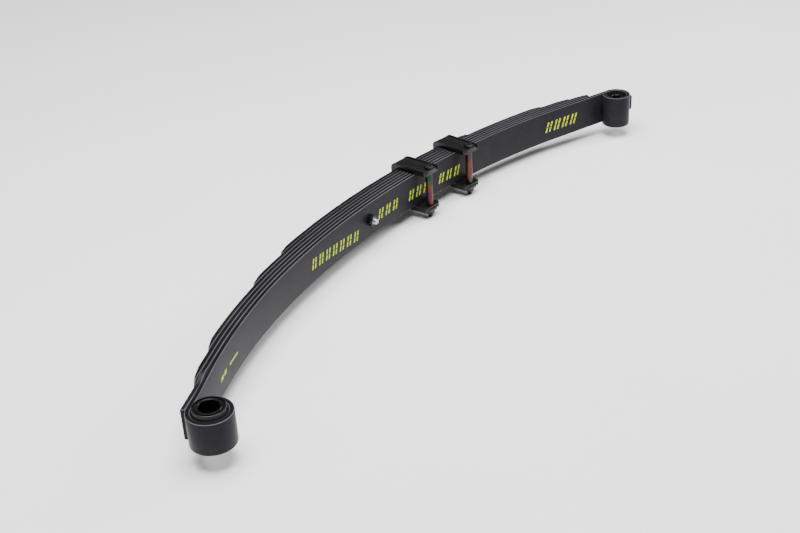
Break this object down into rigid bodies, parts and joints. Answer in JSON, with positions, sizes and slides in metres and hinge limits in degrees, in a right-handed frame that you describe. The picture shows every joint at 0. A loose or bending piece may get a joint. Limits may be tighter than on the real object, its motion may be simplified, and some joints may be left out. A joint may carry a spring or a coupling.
{
  "type": "leaf spring",
  "caption": "Semi-elliptic leaf spring with rolled eyes, rubber bushes, a centre bolt and bolted rebound clamps round the stacked leaves.",
  "frame": {"origin": "on the centre bolt, at mid width, on the axle seat face of the shortest leaf", "axes": "+X along the spring towards the rear eye, +Y out of the convex side towards the axle seat, +Z across the leaves' width, so the spring lies on its leaf edges"},
  "size_m": [1.2598, 0.234, 0.0983],
  "materials": {
    "leaf_paint": "satin",
    "rubber": "matte",
    "black_hardware": "satin",
    "liner": "matte",
    "zinc": "satin"
  },
  "bodies": {
    "leaf_pack": {"main_leaf": "leaf_paint", "second_leaf": "leaf_paint", "third_leaf": "leaf_paint", "fourth_leaf": "leaf_paint", "fifth_leaf": "leaf_paint", "sixth_leaf": "leaf_paint", "centre_bolt": "black_hardware", "centre_bolt_nut": "black_hardware"},
    "front_eye": {"front_bush": "rubber"},
    "front_sleeve": {"front_bush_sleeve": "black_hardware"},
    "rear_eye": {"rear_bush": "rubber"},
    "rear_sleeve": {"rear_bush_sleeve": "black_hardware"},
    "inner_clamp": {"inner_clamp_strap": "black_hardware", "inner_clamp_liner": "liner", "inner_clamp_tube": "zinc", "inner_clamp_bolt": "black_hardware", "inner_clamp_nut": "black_hardware", "inner_clamp_rivet": "black_hardware"},
    "outer_clamp": {"outer_clamp_strap": "black_hardware", "outer_clamp_liner": "liner", "outer_clamp_tube": "zinc", "outer_clamp_bolt": "black_hardware", "outer_clamp_nut": "black_hardware", "outer_clamp_rivet": "black_hardware"}
  },
  "joints": [
    {"name": "front_flex", "type": "hinge", "parent": "leaf_pack", "child": "front_eye", "pos_m": [-0.06085, -0.02249, 0], "axis": [0, 0, -1], "range_deg": [-1.5, 8], "stiffness_Nm_per_rad": 5600, "deforming": ["main_leaf", "second_leaf", "third_leaf"]},
    {"name": "rear_flex", "type": "hinge", "parent": "leaf_pack", "child": "rear_eye", "pos_m": [0.06085, -0.02249, 0], "axis": [0, 0, 1], "range_deg": [-1.5, 8], "stiffness_Nm_per_rad": 5600, "deforming": ["fourth_leaf", "fifth_leaf", "sixth_leaf"]},
    {"name": "inner_clamp_follow", "type": "hinge", "parent": "leaf_pack", "child": "inner_clamp", "pos_m": [0.11585, -0.02607, 0], "axis": [0, 0, 1], "range_deg": [-0.38, 1.83]},
    {"name": "outer_clamp_follow", "type": "hinge", "parent": "leaf_pack", "child": "outer_clamp", "pos_m": [0.18352, -0.03293, 0], "axis": [0, 0, 1], "range_deg": [-1.35, 6.97]},
    {"name": "front_sleeve_turn", "type": "hinge", "parent": "front_eye", "child": "front_sleeve", "pos_m": [-0.57013, -0.1935, 0], "axis": [0, 0, 1], "range_deg": [-15, 15], "stiffness_Nm_per_rad": 40},
    {"name": "rear_sleeve_turn", "type": "hinge", "parent": "rear_eye", "child": "rear_sleeve", "pos_m": [0.61286, -0.19609, 0], "axis": [0, 0, 1], "range_deg": [-20, 20], "stiffness_Nm_per_rad": 25}
  ],
  "couplings": [
    {"joint": "inner_clamp_follow", "follows": "rear_flex", "ratio": 0.2226},
    {"joint": "outer_clamp_follow", "follows": "rear_flex", "ratio": 0.8651}
  ]
}
